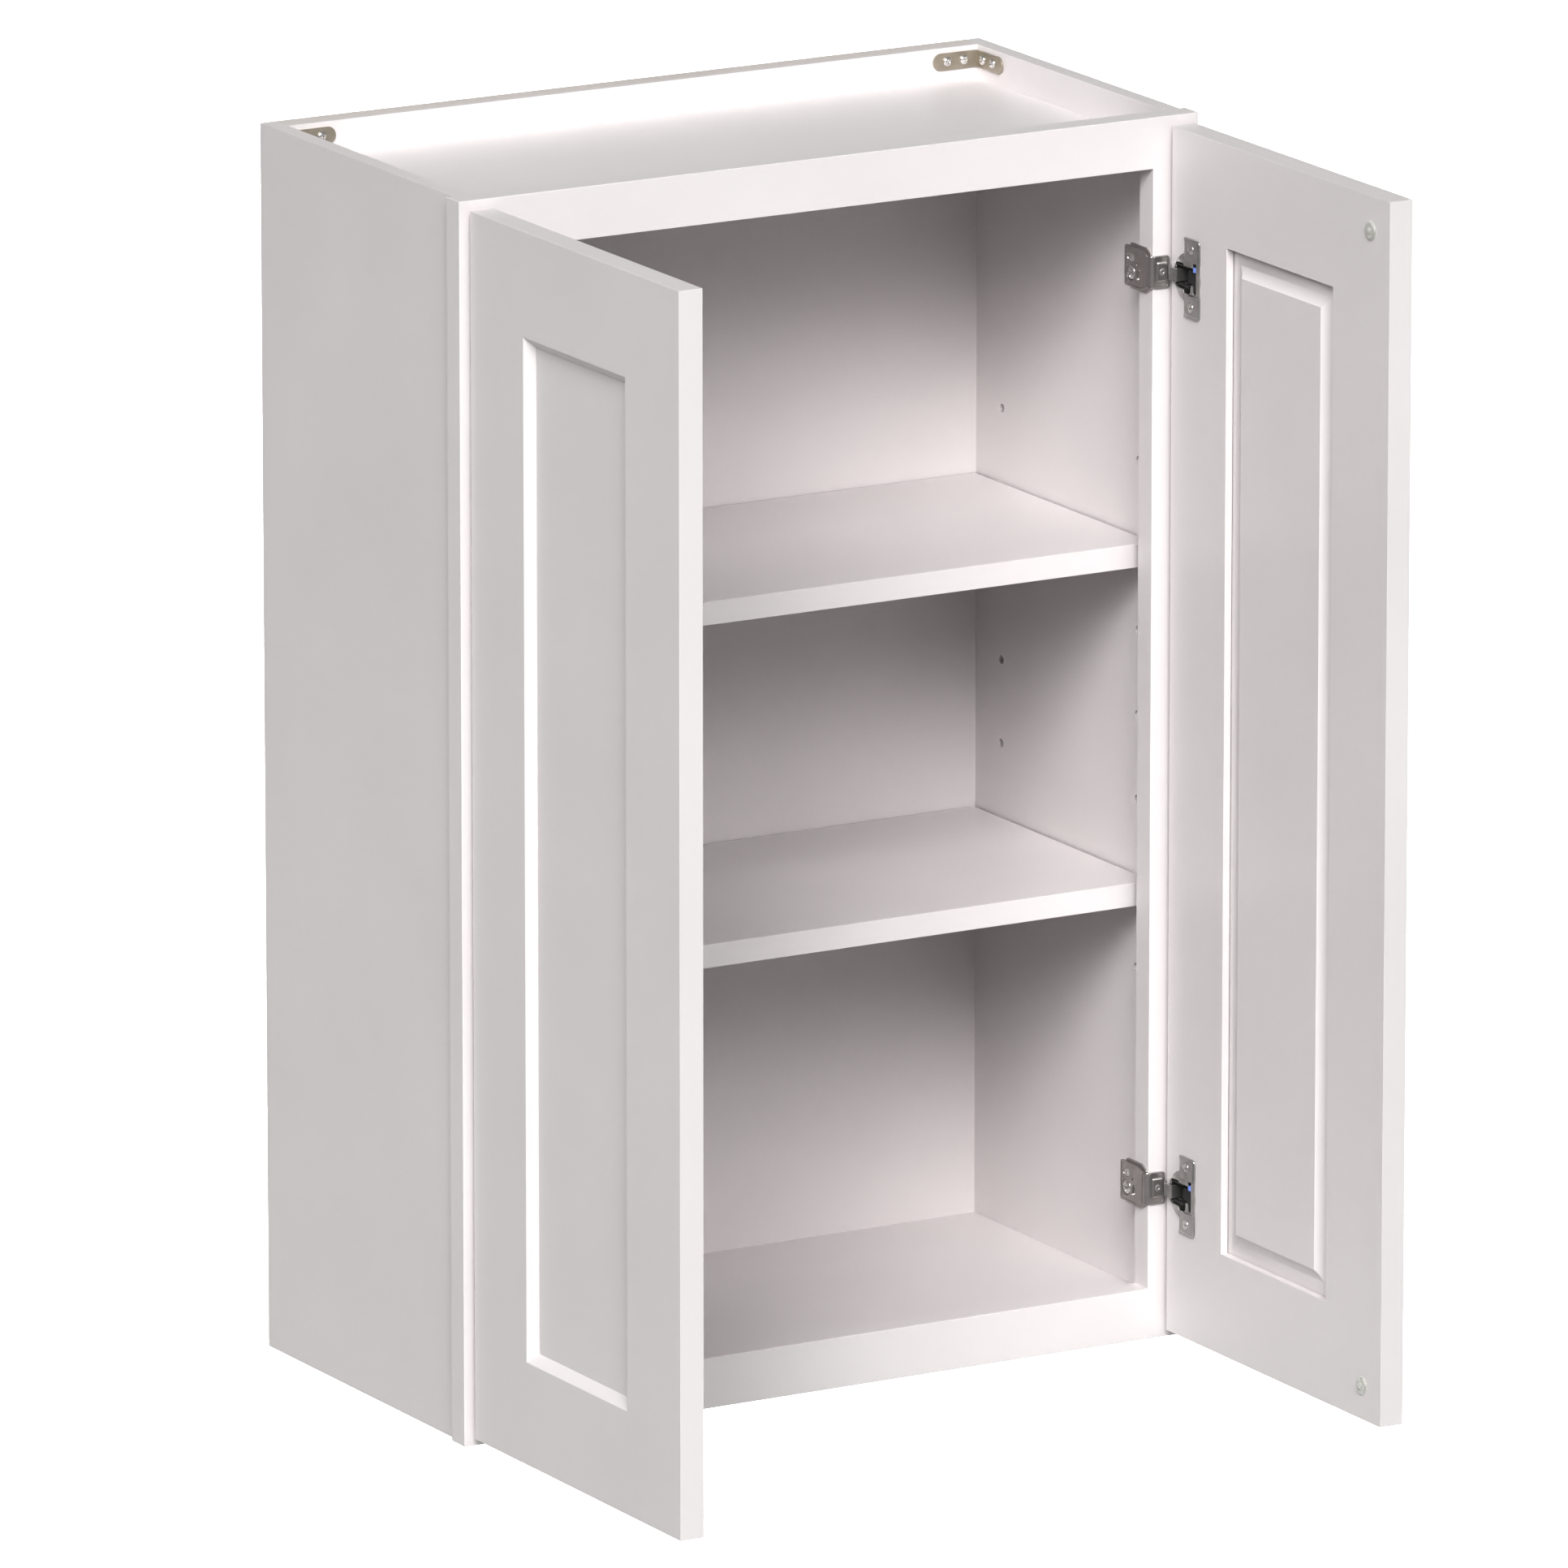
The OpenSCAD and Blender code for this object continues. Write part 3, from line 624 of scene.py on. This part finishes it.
def door_panel(side):
    start = MEMBER_W - GROOVE_D + PANEL_PLAY
    foot = PANEL_BACK + PANEL_GAP
    path = [(start, PANEL_FRONT), (start, foot), *cove_points(foot)]
    bm = bmesh.new()
    rings = mitred_rings(bm, path, door_w, door_h)
    for one, two in zip(rings, rings[1:]):
        for k in range(4):
            m = (k + 1) % 4
            bm.faces.new([one[k], one[m], two[m], two[k]])
    bm.faces.new(rings[0])
    bm.faces.new(rings[-1])
    build(f"{side}_door_raised_panel", [moved(bm, on_door(side))], PAINT, f"{side}_door",
          [f"{side}_door_panel"], 20)


for side in SIDES:
    door_frame(side)
    door_panel(side)


# Bumpers

BUMPER_R = 6.75
BUMPER_INSET = 25.4


def bumper():
    return lathe([(0, 3.0), (1.3, 2.9), (2.2, 2.45), (2.7, 1.7), (3.0, 1.35), (3.9, 1.3), (4.6, 1.75),
                  (5.4, 1.75), (6.3, 1.25), (BUMPER_R, 0.5), (BUMPER_R, 0), (0, 0)], 56)


for side in SIDES:
    spots = []
    low, high = box_mm(f"{side}_door_bumpers")
    for z in (low.z + BUMPER_R, high.z - BUMPER_R):
        dome = moved(bumper(), lambda a, b, c: (door_w - BUMPER_INSET + a, -c, z - door_base_z + b))
        spots.append(moved(dome, on_door(side)))
    build(f"{side}_door_bumper_domes", spots, CLEAR, f"{side}_door",
          [f"{side}_door_bumpers"], 50)


# Hinges, drawn about the pin of an open right-hand hinge

PLATE_T = 1.4
SHEET_T = 1.5
BEND_R = 1.2
base_x = stile_x - PLATE_T
face_x = base_x - SHEET_T
BRACKET_L = 34.3        # from the front of the frame to the bracket's rear edge
WIDE, NARROW = 15.0, 12.0
rear_y = frame_y + BRACKET_L
SCREW_SEAT = (frame_y + 26.6, -4.6)
CAM_SEAT = (frame_y + 26.6, 6.6)
WRAP_END_X = -11.0
side_l = rear_y - frame_y - BEND_R
turn_l = BEND_R * math.pi / 2


def bend_bracket(s, z, n):
    """Wraps the flat bracket round the stile: s runs forwards along the side, then along the front."""
    if s <= side_l:
        return (base_x - n, rear_y - s, z)
    centre = (base_x + BEND_R, frame_y + BEND_R)
    if s <= side_l + turn_l:
        angle = (s - side_l) / BEND_R
        reach = BEND_R + n
        return (centre[0] - reach * math.cos(angle), centre[1] - reach * math.sin(angle), z)
    return (centre[0] + s - side_l - turn_l, frame_y - n, z)


def sliced(bm, cuts, axis=(1, 0, 0)):
    """Adds edges across a solid, so that it can bend there."""
    for at in cuts:
        geometry = bm.verts[:] + bm.edges[:] + bm.faces[:]
        bmesh.ops.bisect_plane(bm, geom=geometry, plane_co=Vector(axis) * at,
                               plane_no=Vector(axis), dist=1e-5)
    return bm


def bracket_sheet():
    end = side_l + turn_l + WRAP_END_X - base_x - BEND_R
    neck = (BRACKET_L - 12.2, BRACKET_L - 2.8)
    outline = rounded([(0, -WIDE), (neck[0], -WIDE), (neck[1], -NARROW), (end, -NARROW),
                       (end, NARROW), (neck[1], NARROW), (neck[0], WIDE), (0, WIDE)],
                      [1.6, 3, 2, 3.2, 3.2, 2, 3, 1.6])
    screw_s = rear_y - SCREW_SEAT[0]
    holes = [circle((screw_s, SCREW_SEAT[1]), 5.9, 40),
             slot_hole((screw_s - 4.6, CAM_SEAT[1] - 2.6), (screw_s + 6.2, CAM_SEAT[1] + 2.6)),
             slot_hole((rear_y - frame_y - 18.2, -9.2), (rear_y - frame_y - 14.2, -0.8)),
             circle((rear_y - frame_y - 17.6, 2.9), 1.0, 16),
             circle((rear_y - frame_y - 13.2, -1.0), 0.6, 12)]
    sheet = prism(outline, 0, SHEET_T, holes, 0.55, 3)
    cuts = [side_l + turn_l * i / 8 for i in range(9)]
    return moved(sliced(sheet, cuts), bend_bracket)


def pressed_rims():
    """The beads pressed round the bracket's side and round its wrap."""
    side = rounded([(rear_y, -15), (rear_y - 22.1, -15), (frame_y + 3.6, -12.2), (frame_y + 3.6, 12.2),
                    (rear_y - 22.1, 15), (rear_y, 15)], [1.6, 3, 1.5, 1.5, 3, 1.6])
    front = rectangle((base_x + 1.2, -12), (WRAP_END_X, 12), 2.4)
    side_rim = prism(side, -0.2, 0.5, [inset_loop(side, 1.3)], 0.3)
    front_rim = prism(front, -0.2, 0.4, [inset_loop(front, 1.4)], 0.3)
    return [moved(side_rim, facing_x(face_x)), moved(front_rim, facing_y(frame_y - SHEET_T))]


def base_plate():
    outline = rounded([(frame_y + 29.6, -17), (frame_y + 7.6, -17), (frame_y + 1, -13),
                       (frame_y + 1, 13), (frame_y + 7.6, 17), (frame_y + 29.6, 17)], [2, 3, 1, 1, 3, 2])
    return moved(prism(outline, 0, PLATE_T, (), 0.4), facing_x(stile_x))


def raised_seat():
    """The pressed seat on the front of the wrap, with sloping sides."""
    x0, x1 = -21.5, -12.4
    rings = [(0, 0.0), (0.15, 0.3), (1.2, 0.87), (1.5, 0.95)]
    bm = bmesh.new()
    front = SHEET_T - 0.05
    loops = []
    for inset, rise in rings:
        shape = rectangle((x0 + inset * 0.5, -7.5 + inset), (x1 - inset * 0.5, 7.5 - inset),
                          1.0 - inset * 0.3, 4)
        loops.append([bm.verts.new((a, b, front + rise)) for a, b in shape])
    for one, two in zip(loops, loops[1:]):
        for i in range(len(one)):
            j = (i + 1) % len(one)
            bm.faces.new([one[i], one[j], two[j], two[i]])
    bm.faces.new(loops[0])
    bm.faces.new(loops[-1])
    bmesh.ops.recalc_face_normals(bm, faces=bm.faces)
    return moved(bm, facing_y(frame_y))


ARM_HALF_H = 5.0


def arm_body():
    """The arm, bent in plan from its seat round the door's edge and into the cup."""
    outer = [(-21.0, frame_y - 1.2), (-11.8, frame_y - 1.2), (-11.3, frame_y - 1.7), (-14.6, 7.8),
             (-15.0, 6.6), (-15.1, 5.2), (-15.1, -0.4), (-14.2, -1.8), (-12.4, -2.2), (0, -2.2)]
    inner = [(0, -0.9), (-12.2, -0.9), (-13.3, -0.2), (-13.6, 1.0), (-13.6, 5.4), (-13.3, 6.8),
             (-9.4, frame_y - 1.0), (-9.4, frame_y - 0.1), (-21.0, frame_y - 0.1)]
    body = prism(outer + inner, -ARM_HALF_H, ARM_HALF_H, (), 0.3, 2, "both")
    return moved(body, upright())


def arm():
    knuckle = moved(lathe([(1.25, -5), (2.2, -5), (2.2, 5), (1.25, 5)], 32, True), upright())
    rivet = lathe([(0, 0.2), (0.7, 0.2), (1.1, 0.55), (1.9, 0.6), (2.4, 0.4), (2.6, 0), (1.5, 0), (1.5, -1.4),
                   (0, -1.4)], 36)
    return [arm_body(), knuckle, moved(rivet, facing_y(frame_y - 2.4, -17))]


def mouth_outline():
    """The opening in the cup's flange, in (y, z): a lobe, a tab beside it and a notch for the switch."""
    corners = [(3.4, -8.6), (3.4, 9.4), (-7.4, 9.6), (-9.0, 8.2), (-21.7, 8.2), (-21.7, 12.0),
               (-25.6, 12.0), (-25.6, -10.9), (-22.0, -10.9), (-21.2, -4.6), (-18.2, -4.6), (-18.0, -10.0),
               (-14.6, -13.2), (-10.0, -12.8), (-7.8, -9.2)]
    radii = [3, 3, 0.8, 0.8, 0.4, 0.5, 0.5, 1.2, 1.2, 0.4, 0.4, 2.0, 2.5, 2.0, 0.8]
    return rounded(corners, radii, 4)


FLANGE_T = 0.9
EAR_Y = (-30.5, -9.3)
EAR_HALF_H = 29.5


def flange():
    """The round flange and the middle of the ear plate, in one sheet with the mouth cut through."""
    y0, y1 = EAR_Y
    half, radius = 12.2, 18.0
    turn = math.degrees(math.acos((y1 - cup_y) / radius))
    outline = [(y0, -half), (y1, -half), *arc((cup_y, 0), radius, -turn, turn, 40), (y1, half), (y0, half)]
    return moved(prism(outline, 0, FLANGE_T, [mouth_outline()], 0.3, 2), facing_x(door_back_x))


def ear_pads():
    """The sunken screw pads, each with a bead along its outer edges."""
    y0, y1 = EAR_Y
    solids = []
    for end in (-1, 1):
        inner, outer = 12.0, EAR_HALF_H
        corners = [(y0, end * inner), (y1, end * inner), (y1, end * outer), (y0, end * outer)]
        outline = rounded(corners, [0, 0, 1.2, 2.8])
        holes = [circle((CUP_SCREW_Y, end * EAR_SCREW_Z), 3.8, 32)]
        solids.append(moved(prism(outline, 0, 0.75, holes, 0.25, 2), facing_x(door_back_x)))
        bead_w = 1.9
        bead = rounded([(y0, end * inner), (y0 + bead_w, end * inner), (y0 + bead_w, end * (outer - bead_w)),
                        (y1, end * (outer - bead_w)), (y1, end * outer), (y0, end * outer)],
                       [0.4, 0.4, 0.8, 0.4, 0.6, 2.8])
        solids.append(moved(prism(bead, 0.2, 1.25, (), 0.45, 3), facing_x(door_back_x)))
    return solids


def cup_bowl():
    profile = [(0, -14.6), (17.2, -14.6), (17.5, -14.3), (17.5, 0.1), (16.7, 0.1), (16.7, -12.8),
               (15.7, -13.8), (0, -13.8)]
    return moved(lathe(profile, 64), facing_x(door_back_x, cup_y))


def lugs():
    """Two plates beside the arm's knuckle that hold the pin."""
    solids = []
    for end in (-1, 1):
        plate = rounded([(-2.8, -3.2), (3.2, -3.2), (3.2, 2.4), (-2.8, 2.4)], 1.2)
        solid = prism(plate, 5.4, 6.8, (), 0.2, 2, "both")
        solids.append(moved(solid, lambda a, b, c: (a, b, end * c)))
    return solids


def hinge_cup():
    return [flange(), *ear_pads(), cup_bowl(), *lugs()]


def lever():
    outline = rounded([(-10.9, -13.4), (-7.2, -15.6), (-1.5, -15.8), (-1.5, -20.5), (-4, -23.4),
                       (-7, -24), (-9.6, -24), (-10.9, -22.7)], [0.6, 1.0, 0.4, 0.4, 1.0, 1.0, 0.8, 0.8])
    return moved(prism(outline, -3.2, 4.6, (), 0.7, 3, "both"), upright())


def lever_face():
    """The lever's front: a round nose over the arm's end, and a tail that curves down."""
    outline = [(-15.2, 6.2), (-14.0, 4.8), (-13.5, 2.2), (-13.5, -0.8), (-14.0, -3.0), (-16.0, -3.3),
               (-20.2, -3.6), (-20.6, -9.4), (-21.8, -10.3), (-23.6, -9.0), (-24.6, -4.0), (-25.1, 0.6),
               (-25.0, 4.6), (-24.4, 5.2), (-21.0, 5.2), (-16.0, 6.1)]
    return moved(prism(rounded(outline, 0.5, 3), 0, 1.3, (), 0.6, 3), facing_x(-9.9))


def fingers():
    """Two bars that reach over the ends of the pin."""
    solids = []
    for low, high in ((6.7, 8.7), (-7.7, -5.6)):
        bar = rectangle((-14.5, low), (2.6, high), 0.6, 3)
        solids.append(moved(prism(bar, 0, 2.9, (), 0.4, 2), facing_x(-8.4)))
    return solids


def switch():
    shape = rectangle((-25.3, 5.5), (-22.0, 9.3), 0.5, 3)
    return moved(prism(shape, 0, 3.6, (), 0.45, 3), facing_x(-8.7))


HEAD = [(3.1, 1.75), (4.2, 1.5), (5.0, 1.0), (5.45, 0.35), (5.5, 0.0)]
FLAT_HEAD = [(3.2, 0.45), (3.6, 0.35), (3.75, 0.1), (3.75, 0.0)]
PAN_HEAD = [(1.9, 1.8), (2.7, 1.55), (3.3, 1.05), (3.6, 0.4), (3.6, 0.0)]
CAM_HEAD = [(3.0, 0.9), (3.9, 0.7), (4.3, 0.3), (4.3, 0)]
PIN = [(0, -6.9), (1.1, -6.9), (1.2, -6.7), (1.2, 6.7), (1.1, 6.9), (0, 6.9)]


def all_moved(solids, place):
    return [moved(solid, place) for solid in solids]


fixing, adjusting = [], []
for side in SIDES:
    plates, ear_screws, pins = [], [], []
    for level in LEVELS:
        place = at_hinge(side, level)
        node = f"{level}_{side}"
        bracket = (bracket_sheet(), raised_seat(), *pressed_rims())
        build(f"{node}_hinge_bracket_sheet", all_moved(bracket, place),
              NICKEL, "cabinet", [f"{node}_hinge_bracket"], 30)
        build(f"{node}_hinge_arm_sheet", all_moved(arm(), place),
              CUP_STEEL, "cabinet", [f"{node}_hinge_arm"], 40)
        build(f"{node}_hinge_cup_pressing", all_moved(hinge_cup(), place),
              CUP_STEEL, f"{side}_door", [f"{node}_hinge_cup"], 35)
        build(f"{node}_damper_lever_moulding", all_moved((lever(), lever_face(), *fingers()), place),
              BLACK, f"{node}_damper_lever", [f"{node}_damper_lever"], 40)
        build(f"{node}_damper_switch_key", [moved(switch(), place)],
              BLUE, f"{node}_damper_switch", [f"{node}_damper_switch"], 40)
        plates.append(moved(base_plate(), place))
        for z in (-EAR_SCREW_Z, EAR_SCREW_Z):
            made = screw(FLAT_HEAD, 1.75, 12, 2.5, 0.9, 1.0)
            seated = moved(made, facing_x(door_back_x - 0.55, CUP_SCREW_Y, z))
            ear_screws.append(moved(seated, place))
        head = moved(screw(HEAD, 2, 17, 3.0, 1.1, 1.4), facing_x(base_x - 0.3, *SCREW_SEAT))
        fixing.append(moved(head, place))
        cam = moved(screw(CAM_HEAD, 1.8, 2.6, 2.4, 1.0, 0.8), facing_x(base_x - 0.1, *CAM_SEAT))
        adjusting.append(moved(cam, place))
        pins.append(moved(lathe(PIN, 24), place))
    build(f"{side}_hinge_base_sheets", plates, NICKEL, "cabinet", [f"{side}_hinge_base_plates"], 30)
    build(f"{side}_cup_screw_heads", ear_screws, ZINC, f"{side}_door", [f"{side}_cup_screws"], 30)
    build(f"{side}_hinge_pin_rods", pins, ZINC, f"{side}_door", [f"{side}_hinge_pins"], 40)
build("hinge_fixing_screw_heads", fixing, ZINC, "cabinet", ["hinge_fixing_screws"], 30)
build("hinge_adjusting_screw_heads", adjusting, ZINC, "cabinet", ["hinge_adjusting_screws"], 30)


# Corner brackets and their screws

LEG_W = 12.7
LEG_T = 1.5
LEG_TURN_R = 1.0
SIDE_HOLES = (10.0, 24.3)   # from the corner, along the side panel
BACK_HOLES = (12.2, 26.5)   # from the corner, along the back panel


def corner_sheet(side):
    """One leg along the back and one along the side, bent from a single strip."""
    hand = SIDES[side]
    low, high = box_mm(f"{side}_corner_bracket")
    corner = Vector((hand * max(abs(low.x), abs(high.x)), high.y, (low.z + high.z) / 2))
    leg = high.y - low.y
    turn_r = LEG_TURN_R
    straight = leg - turn_r
    turn_l = turn_r * math.pi / 2
    half = straight + turn_l / 2
    outline = rounded([(-half, -LEG_W / 2), (half, -LEG_W / 2), (half, LEG_W / 2), (-half, LEG_W / 2)],
                      LEG_W / 2 * 0.999, 10)
    holes = []
    for d in SIDE_HOLES:
        holes.append(circle((-(turn_l / 2 + d - turn_r), 0), 2.0, 20))
    for d in BACK_HOLES:
        holes.append(circle((turn_l / 2 + d - turn_r, 0), 2.0, 20))
    strip = prism(outline, 0, LEG_T, holes, 0.35, 2, "both")
    sliced(strip, [turn_l * (i / 8 - 0.5) for i in range(9)])

    def bend(s, z, n):
        # n runs inwards, from the face that touches the wood
        if s < -turn_l / 2:
            at = (n, -(turn_r - s - turn_l / 2))
        elif s > turn_l / 2:
            at = (turn_r + s - turn_l / 2, -n)
        else:
            angle = (s + turn_l / 2) / turn_r
            reach = turn_r - n
            at = (turn_r - reach * math.cos(angle), -(turn_r - reach * math.sin(angle)))
        return (corner.x - hand * at[0], corner.y + at[1], corner.z + z)
    return moved(strip, bend)


def pan_screw():
    return screw(PAN_HEAD, 1.9, 10.5, 1.7, 0.75, 0.9)


pan_screws = []
for side, hand in SIDES.items():
    build(f"{side}_corner_bracket_strip", [corner_sheet(side)], BEIGE, "cabinet",
          [f"{side}_corner_bracket"], 35)
    low, high = box_mm(f"{side}_corner_bracket")
    corner_x = max(abs(low.x), abs(high.x))
    level = (low.z + high.z) / 2
    for d in SIDE_HOLES:
        pan_screws.append(moved(pan_screw(), lambda a, b, c: (
            hand * (corner_x - LEG_T - c), high.y - d + a, level + b)))
    for d in BACK_HOLES:
        pan_screws.append(moved(pan_screw(), lambda a, b, c: (
            hand * (corner_x - d + a), high.y - LEG_T - c, level + b)))
build("corner_bracket_screw_heads", pan_screws, ZINC, "cabinet", ["corner_bracket_screws"], 30)

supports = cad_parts["shelf_supports"]
supports.data.materials.clear()
supports.data.materials.append(ZINC)
tidy_edges(supports, 0.25)


# Floor, light and camera

FLOOR_Z = -1.4
FLOOR_REACH = 60
STUDIO_MIDDLE = Vector((0, -0.3, 0.45))
KEY_DISTANCE = 14
KEYS = (("key_left", -45, 30, 51), ("key_front", -15, 30, 30), ("key_high", -30, 45, 39))
VIEW_AZIMUTH = -29.88
VIEW_ELEVATION = 14.12
VIEW_TARGET = Vector((-0.0743, -0.3639, 0.4749))
VIEW_DISTANCE = 13.3


def direction(azimuth, elevation):
    """The way out from the middle, with azimuth 0 straight in front, in degrees."""
    turn, lift = math.radians(azimuth), math.radians(elevation)
    return Vector((math.sin(turn) * math.cos(lift), -math.cos(turn) * math.cos(lift), math.sin(lift)))


def floor():
    mesh = bpy.data.meshes.new("floor")
    corners = rectangle((-FLOOR_REACH, -FLOOR_REACH), (FLOOR_REACH, FLOOR_REACH))
    mesh.from_pydata([(x, y, FLOOR_Z) for x, y in corners], [], [(0, 1, 2, 3)])
    made = placed("floor", mesh)
    material, nodes, links, shader = node_tree("pale_floor")
    cloud = noise(nodes, links, texture_space(nodes, links, (1, 1, 1)), 0.4)
    links.new(tint(nodes, links, cloud, (0.80, 0.80, 0.80), (0.83, 0.83, 0.83)), shader.inputs["Base Color"])
    shader.inputs["Roughness"].default_value = 0.9
    shader.inputs["Specular IOR Level"].default_value = 0.1
    mesh.materials.append(material)
    made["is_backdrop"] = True


def softbox(name, at, target, size, watts, spread_angle):
    data = bpy.data.lights.new(name, "AREA")
    data.shape = "RECTANGLE"
    data.size, data.size_y = size
    data.energy = watts
    data.spread = math.radians(spread_angle)
    lamp = placed(name, data)
    lamp.location = at
    lamp.rotation_euler = (Vector(target) - Vector(at)).to_track_quat("-Z", "Y").to_euler()


def studio():
    """Three far softboxes in front and to the left, a soft fill and a lit floor behind."""
    world = bpy.data.worlds.new("studio")
    bpy.context.scene.world = world
    world.use_nodes = True
    background = world.node_tree.nodes["Background"]
    background.inputs["Color"].default_value = (1, 1, 1, 1)
    background.inputs["Strength"].default_value = 0.36
    for name, azimuth, elevation, watts in KEYS:
        at = STUDIO_MIDDLE + direction(azimuth, elevation) * KEY_DISTANCE
        softbox(name, at, STUDIO_MIDDLE, (5, 5), watts, 32)
    softbox("floor_light", (3.8, 7.0, 6.0), (3.8, 7.0, FLOOR_Z), (8, 10), 900, 40)


def camera():
    back = direction(VIEW_AZIMUTH, VIEW_ELEVATION)
    data = bpy.data.cameras.new("camera")
    data.lens = 427.23
    data.sensor_width = 36
    data.clip_end = 200
    made = placed("camera", data)
    made.location = VIEW_TARGET + back * VIEW_DISTANCE
    made.rotation_euler = (-back).to_track_quat("-Z", "Y").to_euler()
    bpy.context.scene.camera = made


floor()
studio()
camera()
bpy.context.scene.view_settings.view_transform = "Standard"
bpy.context.scene.view_settings.gamma = 0.65

low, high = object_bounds()
